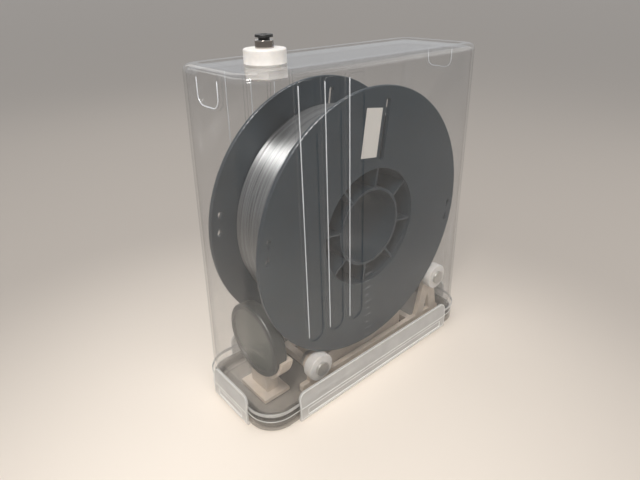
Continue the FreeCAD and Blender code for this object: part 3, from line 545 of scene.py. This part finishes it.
def flap_edge(node, outward, bead):
    """Thin round beads along a flap's edge, along its bend and round its sunk panel, on its outer face, as
    painted highlight lines.

    The first and last are rounded outlines, and the face leans in above the bend.
    """
    low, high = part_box(node)
    out = np.array(outward, float)
    lengthwise = np.array([abs(out[1]), abs(out[0]), 0.0])
    half = float(np.dot(np.array(high), lengthwise))
    reach = float(max(np.dot(low, out), np.dot(high, out)))
    along, level = rounded_loop(half - bead, low.z + FLAP_EDGE_FOOT, high.z - bead,
                                FLAP_LOW_CORNER, FLAP_HIGH_CORNER, FLAP_EDGE_STEPS)
    lean = FLAP_LEAN * np.clip((level - FLAP_BEND_Z) / (high.z - FLAP_BEND_Z), 0, 1)
    path = along[:, None] * lengthwise + (reach - lean - bead * BEAD_SUNK)[:, None] * out
    path[:, 2] = level
    facing = np.tile(out, (len(path), 1))
    along, level = rounded_loop(half - FLAP_PANEL_MARGIN, FLAP_PANEL_LOW, FLAP_PANEL_HIGH,
                                bead, bead, len(path))
    panel = along[:, None] * lengthwise + (reach - bead * BEAD_SUNK) * out
    panel[:, 2] = level
    along = np.linspace(-half + bead, half - bead, FLAP_BEND_STEPS)
    bend = along[:, None] * lengthwise + (reach - bead * BEAD_SUNK) * out
    bend[:, 2] = FLAP_BEND_Z
    return joined([tube(path, facing, bead, BEAD_SIDES, True),
                   tube(panel, facing, bead, BEAD_SIDES, True),
                   tube(bend, facing[:len(bend)], bead, BEAD_SIDES, False)])


def wound_layer(wire, spacing):
    """Helix of side-by-side turns: radius r, angle 2 pi t and place along Y rising by the spacing each turn.

    The radius rises and falls by a few hundredths of a millimetre, as hand-fed turns do.
    """
    outer = (LAYER_HIGH.z - LAYER_LOW.z) / 2
    width = LAYER_HIGH.y - LAYER_LOW.y - wire
    turns = width / spacing
    steps = int(turns * TURN_STEPS)
    turn = np.linspace(0, turns, steps)
    angle = 2 * np.pi * turn
    sway = SLOW_SWAY * np.sin(turn * 2.1) + QUICK_SWAY * np.sin(turn * 7.3 + 1)
    radius = outer - wire / 2 - LAYER_GAP + sway
    outward = np.stack([np.sin(angle), np.zeros(steps), np.cos(angle)], axis=1)
    path = np.array(SPOOL_CENTRE) + outward * radius[:, None]
    path[:, 1] += -width / 2 + turn * spacing
    return tube(path, outward, wire / 2, WIRE_SIDES, False)


def lathe(radius, along, count):
    """Closed profile turned about the spool's axis: x = r * sin a, z = r * cos a, with y left as it is."""
    angle = np.linspace(0, 2 * np.pi, count, endpoint=False)[:, None]
    points = np.stack([SPOOL_CENTRE.x + radius * np.sin(angle),
                       SPOOL_CENTRE.y + along + 0 * angle,
                       SPOOL_CENTRE.z + radius * np.cos(angle)], axis=-1).reshape(-1, 3)
    size = len(radius)
    row = np.arange(count)[:, None]
    after = (row + 1) % count
    here = np.arange(size)[None, :]
    there = (here + 1) % size
    quads = np.stack([row * size + here, row * size + there,
                      after * size + there, after * size + here], axis=-1)
    return points, quads.reshape(-1, 4)


def inner_layers(wire):
    """Ring of the layers under the outer one, with the end turn of each layer showing at its sides.

    Each side is half a width less half a wire * (1 - |sin(pi * (r - inner) / wire)| ^ 0.6),
    so it is a row of round ribs.
    """
    places = np.array([vertex.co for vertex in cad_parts["filament_core"].data.vertices])
    inner = np.hypot(places[:, 0] - SPOOL_CENTRE.x, places[:, 2] - SPOOL_CENTRE.z).min()
    outer = (CORE_HIGH.z - CORE_LOW.z) / 2
    half = (CORE_HIGH.y - CORE_LOW.y) / 2
    layers = int((outer - inner) / wire)
    rise = np.linspace(0, layers, layers * LAYER_STEPS + 1)
    radius = inner + (outer - inner) * rise / layers
    side = half - wire / 2 * (1 - np.abs(np.sin(np.pi * rise)) ** RIB_ROUNDNESS)
    there_and_back = np.concatenate([radius, radius[::-1]])
    return lathe(there_and_back, np.concatenate([side, -side[::-1]]), LAYER_ROUND_STEPS)


def bead_ball():
    """Small ball: an icosahedron with its corners at radius 1, as points and triangles."""
    shape = bmesh.new()
    bmesh.ops.create_icosphere(shape, subdivisions=1, radius=1.0)
    points = np.array([vertex.co for vertex in shape.verts])
    faces = np.array([[vertex.index for vertex in face.verts] for face in shape.faces])
    shape.free()
    return points, faces


def bead_bed(diameter):
    """Two layers of balls on a staggered grid at the top of the bed, each nudged a little."""
    random = np.random.default_rng(7)
    radius = diameter / 2
    centres = []
    for layer in range(BEAD_LAYERS):
        low = np.array(BEADS_LOW) + radius
        high = np.array(BEADS_HIGH) - radius
        x = np.arange(low[0] + layer * radius, high[0], diameter)
        y = np.arange(low[1], high[1], diameter * BEAD_ROW_SHARE)
        grid_x, grid_y = np.meshgrid(x, y)
        grid_x = grid_x + (np.arange(len(y)) % 2)[:, None] * radius
        level = np.full(grid_x.size, high[2] - layer * diameter * BEAD_RISE_SHARE)
        centres.append(np.stack([grid_x.ravel(), grid_y.ravel(), level], axis=1))
    centres = np.concatenate(centres)
    nudge = random.uniform(-BEAD_NUDGE, BEAD_NUDGE, centres.shape)
    centres += nudge * diameter * np.array([1, 1, BEAD_RISE_SHARE])
    middle = (np.array(BEADS_LOW) + np.array(BEADS_HIGH)) / 2
    half = (np.array(BEADS_HIGH) - np.array(BEADS_LOW)) / 2
    beyond = np.abs(centres - middle)[:, :2] - (half[:2] - BED_CORNER)
    outside = np.hypot(*np.clip(beyond, 0, None).T) > BED_CORNER - radius
    centres = centres[~outside]
    centres[:, 2] = np.minimum(centres[:, 2], BEADS_HIGH.z - radius)
    ball, faces = bead_ball()
    points = (centres[:, None, :] + ball[None, :, :] * radius).reshape(-1, 3)
    shift = np.arange(len(centres))[:, None, None] * len(ball)
    return points, (faces[None, :, :] + shift).reshape(-1, 3)


def scale_marks(length):
    """Row of thin bars on the front wall, each a flat box that follows the wall's tilt."""
    first_z, step, count = 34.0 * MM, 6.0 * MM, 12
    low_x = -16.0 * MM
    height, proud = 0.45 * MM, 0.12 * MM
    level = first_z + step * np.arange(count)
    span = np.where(np.arange(count) % 2 == 0, length, length * 0.6)
    corners = np.array([[a, b, c] for a in (0, 1) for b in (0, 1) for c in (0, 1)], float)
    points = np.zeros((count, 8, 3))
    points[:, :, 0] = low_x + corners[None, :, 0] * span[:, None]
    points[:, :, 2] = level[:, None] + corners[None, :, 2] * height
    points[:, :, 1] = wall_y(points[:, :, 2]) - proud * (1 - corners[None, :, 1])
    quads = np.array([[0, 1, 3, 2], [4, 6, 7, 5], [0, 4, 5, 1], [2, 3, 7, 6], [0, 2, 6, 4], [1, 5, 7, 3]])
    shift = np.arange(count)[:, None, None] * 8
    return points.reshape(-1, 3), (quads[None] + shift).reshape(-1, 4)


class DRYER_OT_hood(bpy.types.Operator):
    """Clear hood with its moulded scale, rounded edges carrying a painted highlight, and rim band"""
    bl_idname = "dryer.hood"
    bl_label = "Hood"

    def execute(self, context):
        finish = context.scene.dryer_finish
        clear = see_through("clear_hood", finish.clear_colour, finish.clear_veil, 0.05, tint=0.95)
        dress(clear, "container_shell")
        # The groove and grip beads get a milky veil far denser than the hood's: a painted highlight along
        # those edges.
        marks = see_through("edge_highlight_beads", finish.clear_colour, 0.5, 0.1)
        sizes = context.scene.dryer_winding
        faint = see_through("moulded_scale", finish.clear_colour, 0.14, 0.1)
        points, faces = scale_marks(sizes.tick_length)
        add_piece("moulded_scale", points, faces, faint, "hood", smooth=False)
        points, faces = groove_highlight_beads(sizes.edge_bead)
        add_piece("groove_highlight_beads", points, faces, marks, "hood")
        points, faces = grip_highlight_beads(sizes.edge_bead)
        add_piece("grip_highlight_beads", points, faces, marks, "hood")
        bead = sizes.edge_bead
        band = see_through("rim_band", finish.flap_colour, 0.5, 0.1)
        points, faces = level_loop(RIM_SIZE, bead * 1.2, RIM_MIDDLE_Z, bead, RIM_BAND_HALF / bead)
        add_piece("rim_band", points, faces, band, "hood")
        return {"FINISHED"}


class DRYER_OT_lid(bpy.types.Operator):
    """Smoky lid, the painted highlight along its edge, its gasket and the milky flaps with painted highlight
    beads
    """
    bl_idname = "dryer.lid"
    bl_label = "Lid and flaps"

    def execute(self, context):
        finish = context.scene.dryer_finish
        dress(see_through("smoky_lid", finish.lid_colour, 0.42, 0.1), "lid_plate")
        bead = context.scene.dryer_winding.edge_bead
        points, faces = level_loop(SKIRT_SIZE, bead * 0.7, SKIRT_TOP_Z - bead * 0.7, bead, 1.0)
        # The lid's edge bead is a painted highlight: milky and far lighter than the smoky lid.
        bright = see_through("lid_edge_highlight", finish.flap_colour, 0.75, 0.1)
        add_piece("lid_edge_highlight", points, faces, bright, "lid")
        dress(moulded("gasket", (0.12, 0.115, 0.11), 0.65), "lid_gasket")
        flap = see_through("milky_flap", finish.flap_colour, 0.48, 0.12)
        # The pale, dense veil of the flap beads is a painted highlight on the flaps' edges, bend and panel.
        edge = see_through("flap_edge", FLAP_HIGHLIGHT_COLOUR, 0.85, 0.12)
        for side, outward in FLAP_OUTWARD.items():
            node = "flap_" + side
            dress(flap, node)
            points, faces = flap_edge(node, outward, bead)
            add_piece(node + "_edge", points, faces, edge, node)
        return {"FINISHED"}


class DRYER_OT_outlet(bpy.types.Operator):
    """Printed boss and nut, and the push-fit coupler"""
    bl_idname = "dryer.outlet"
    bl_label = "Outlet"

    def execute(self, context):
        finish = context.scene.dryer_finish
        dress(printed("boss_white", finish.white_colour, 0.5), "outlet_boss", "outlet_nut")
        dress(plated("nickel", (0.38, 0.35, 0.32), 0.08), "fitting_body")
        dress(moulded("collet_black", (0.008, 0.008, 0.008), 0.5), "fitting_collet")
        dress(moulded("seal_black", (0.02, 0.02, 0.02), 0.6), "fitting_o_ring")
        return {"FINISHED"}


class DRYER_OT_spool(bpy.types.Operator):
    """Spool, bare label and the wound filament"""
    bl_idname = "dryer.spool"
    bl_label = "Spool"

    def execute(self, context):
        finish = context.scene.dryer_finish
        sizes = context.scene.dryer_winding
        dark = moulded("spool_plastic", finish.spool_colour, 0.36, grain=1200.0, depth=0.1, strength=0.025)
        dress(dark, "spool_flange_front", "spool_flange_rear", "spool_hub")
        dress(paper("label_paper", (0.78, 0.75, 0.7)), "spool_label")
        natural = strand("filament", finish.filament_colour)
        points, faces = inner_layers(sizes.wire)
        layers = add_piece("filament_layers", points, faces, natural, "spool")
        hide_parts("filament_core")
        points, faces = wound_layer(sizes.wire, sizes.spacing)
        turns = add_piece("filament_turns", points, faces, natural, "spool")
        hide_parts("filament_winding")
        return {"FINISHED"}


class DRYER_OT_cradle(bpy.types.Operator):
    """Printed cradle, rollers and their screws"""
    bl_idname = "dryer.cradle"
    bl_label = "Cradle and rollers"

    def execute(self, context):
        finish = context.scene.dryer_finish
        dress(printed("cradle_natural", finish.printed_colour, 0.42),
              "cradle_frame_front", "cradle_frame_rear", "cradle_tie_bars")
        dress(printed("roller_white", finish.white_colour, 0.4), "roller_front_left", "roller_front_right",
              "roller_rear_left", "roller_rear_right")
        dress(plated("screw_steel", (0.6, 0.59, 0.57), 0.3), "roller_axle_screws", "roller_axle_nuts")
        return {"FINISHED"}


class DRYER_OT_desiccant(bpy.types.Operator):
    """Tray, slotted cover and drying beads"""
    bl_idname = "dryer.desiccant"
    bl_label = "Desiccant"

    def execute(self, context):
        finish = context.scene.dryer_finish
        dress(printed("tray_natural", finish.printed_colour, 0.45), "desiccant_tray", "desiccant_cover")
        bead = moulded("drying_bead", finish.bead_colour, 0.22, grain=400.0, depth=0.25)
        points, faces = bead_bed(context.scene.dryer_winding.bead)
        bed = add_piece("bead_bed", points, faces, bead, "lid")
        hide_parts("desiccant_beads")
        return {"FINISHED"}


class DRYER_OT_hygrometer(bpy.types.Operator):
    """Hygrometer and its printed stand"""
    bl_idname = "dryer.hygrometer"
    bl_label = "Hygrometer"

    def execute(self, context):
        finish = context.scene.dryer_finish
        dress(moulded("meter_case", finish.meter_colour, 0.4), "hygrometer_case")
        display = moulded("meter_display", (0.085, 0.093, 0.075), 0.35, grain=300.0, depth=0.15)
        dress(display, "hygrometer_display")
        dress(see_through("meter_window", (0.5, 0.5, 0.5), 0.01, 0.03), "hygrometer_lens")
        dress(printed("stand_natural", finish.printed_colour, 0.45), "hygrometer_holder")
        return {"FINISHED"}


def flat_grid(half, count):
    """Level square of count by count points at z 0."""
    side = np.linspace(-half, half, count)
    grid_x, grid_y = np.meshgrid(side, side)
    points = np.stack([grid_x.ravel(), grid_y.ravel(), np.zeros(count * count)], axis=1)
    row = (np.arange(count - 1)[:, None] * count + np.arange(count - 1)[None, :]).ravel()
    faces = np.stack([row, row + 1, row + count + 1, row + count], axis=1)
    return points, faces


def floor_material(stage):
    """Matt floor with painted light: palest in a pool in front of the object, with painted shade deepening
    away from there.
    """
    material, tree, output, place = new_tree("floor")
    shader = principled(tree, stage.floor_painted_light, 0.55)
    length = tree.nodes.new("ShaderNodeVectorMath")
    length.operation = "DISTANCE"
    length.inputs[1].default_value = FLOOR_PAINTED_LIGHT_PLACE
    tree.links.new(place, length.inputs[0])
    reach = tree.nodes.new("ShaderNodeMapRange")
    reach.interpolation_type = "SMOOTHSTEP"
    reach.inputs["From Min"].default_value = FLOOR_PAINTED_LIGHT_REACH
    reach.inputs["From Max"].default_value = FLOOR_PAINTED_SHADE_REACH
    tree.links.new(length.outputs["Value"], reach.inputs["Value"])
    ramp = tree.nodes.new("ShaderNodeValToRGB")
    ramp.color_ramp.elements[0].color = (*stage.floor_painted_light, 1)
    ramp.color_ramp.elements[1].color = (*stage.floor_painted_shade, 1)
    tree.links.new(reach.outputs["Result"], ramp.inputs["Fac"])
    tree.links.new(ramp.outputs["Color"], shader.inputs["Base Color"])
    tree.links.new(shader.outputs["BSDF"], output.inputs["Surface"])
    return material


def add_lamp(name, place, size, power):
    """Square area lamp that looks at the object."""
    data = bpy.data.lights.new(name, "AREA")
    data.size = size
    data.energy = power
    data.color = LAMP_COLOUR
    lamp = bpy.data.objects.new(name, data)
    lamp.location = place
    lamp.rotation_euler = (Vector(STAGE_CENTRE) - Vector(place)).to_track_quat("-Z", "Y").to_euler()
    bpy.context.scene.collection.objects.link(lamp)
    return lamp


def studio_world(stage):
    """Even light all round, seen by the camera itself as a plain backdrop."""
    world = bpy.data.worlds.new("studio")
    world.use_nodes = True
    tree = world.node_tree
    light = tree.nodes["Background"]
    light.inputs["Color"].default_value = WORLD_COLOUR
    light.inputs["Strength"].default_value = stage.world_strength
    backdrop = tree.nodes.new("ShaderNodeBackground")
    backdrop.inputs["Color"].default_value = (*stage.backdrop, 1)
    seen = tree.nodes.new("ShaderNodeLightPath").outputs["Is Camera Ray"]
    surface = mixed(tree, seen, light.outputs["Background"], backdrop.outputs["Background"])
    tree.links.new(surface, tree.nodes["World Output"].inputs["Surface"])
    return world


def add_camera():
    """Camera at the photograph's place: heading from yaw and pitch, then rolled about its axis."""
    forward = Vector((math.sin(CAMERA_YAW) * math.cos(CAMERA_PITCH),
                      math.cos(CAMERA_YAW) * math.cos(CAMERA_PITCH), math.sin(CAMERA_PITCH)))
    level = Vector((math.cos(CAMERA_YAW), -math.sin(CAMERA_YAW), 0))
    upward = level.cross(forward)
    right = level * math.cos(CAMERA_ROLL) + upward * math.sin(CAMERA_ROLL)
    above = upward * math.cos(CAMERA_ROLL) - level * math.sin(CAMERA_ROLL)
    data = bpy.data.cameras.new("camera")
    data.sensor_width = 36.0
    data.lens = CAMERA_FOCAL_PIXELS / IMAGE_WIDTH_PIXELS * data.sensor_width
    data.clip_start = 0.01
    camera = bpy.data.objects.new("camera", data)
    turn = Matrix((right, above, -forward)).transposed()
    camera.matrix_world = Matrix.Translation(CAMERA_PLACE) @ turn.to_4x4()
    bpy.context.scene.collection.objects.link(camera)
    bpy.context.scene.camera = camera


class DRYER_OT_stage(bpy.types.Operator):
    """Floor, lamps, world and camera"""
    bl_idname = "dryer.stage"
    bl_label = "Studio"

    def execute(self, context):
        scene = context.scene
        stage = scene.dryer_stage
        points, faces = flat_grid(FLOOR_HALF, FLOOR_POINTS)
        mesh = bpy.data.meshes.new("floor")
        mesh.from_pydata(points.tolist(), [], faces.tolist())
        mesh.materials.append(floor_material(stage))
        floor = bpy.data.objects.new("floor", mesh)
        scene.collection.objects.link(floor)
        add_lamp("key_lamp", KEY_PLACE, KEY_SIZE, stage.key_power)
        glint = add_lamp("glint_lamp", KEY_PLACE, KEY_SIZE, stage.glint_power)
        glint.visible_diffuse = False
        add_lamp("side_lamp", SIDE_PLACE, SIDE_SIZE, stage.rim_power)
        add_lamp("back_lamp", BACK_PLACE, BACK_SIZE, stage.rim_power)
        scene.world = studio_world(stage)
        scene.view_settings.view_transform = "Standard"
        scene.cycles.transparent_max_bounces = 32
        add_camera()
        return {"FINISHED"}


class DRYER_PT_panel(bpy.types.Panel):
    """Lists the pieces of the dryer box"""
    bl_idname = "DRYER_PT_panel"
    bl_label = "Dryer Box"
    bl_space_type = "VIEW_3D"
    bl_region_type = "UI"
    bl_category = "Dryer Box"

    def draw(self, context):
        for operator in OPERATORS:
            self.layout.operator(operator.bl_idname)
        for group in ("dryer_finish", "dryer_winding", "dryer_stage"):
            settings = getattr(context.scene, group)
            for name in settings.__annotations__:
                self.layout.prop(settings, name)


OPERATORS = (DRYER_OT_hood, DRYER_OT_lid, DRYER_OT_outlet, DRYER_OT_spool, DRYER_OT_cradle,
             DRYER_OT_desiccant, DRYER_OT_hygrometer, DRYER_OT_stage)
GROUPS = {"dryer_finish": DryerBoxFinish, "dryer_winding": WindingSize, "dryer_stage": StudioStage}


def register():
    for name, group in GROUPS.items():
        bpy.utils.register_class(group)
        setattr(bpy.types.Scene, name, bpy.props.PointerProperty(type=group))
    for operator in OPERATORS:
        bpy.utils.register_class(operator)
    bpy.utils.register_class(DRYER_PT_panel)


def unregister():
    bpy.utils.unregister_class(DRYER_PT_panel)
    for operator in reversed(OPERATORS):
        bpy.utils.unregister_class(operator)
    for name, group in GROUPS.items():
        delattr(bpy.types.Scene, name)
        bpy.utils.unregister_class(group)


def main():
    register()
    bpy.ops.dryer.hood()
    bpy.ops.dryer.lid()
    bpy.ops.dryer.outlet()
    bpy.ops.dryer.spool()
    bpy.ops.dryer.cradle()
    bpy.ops.dryer.desiccant()
    bpy.ops.dryer.hygrometer()
    bpy.ops.dryer.stage()


if __name__ == "__main__":
    main()
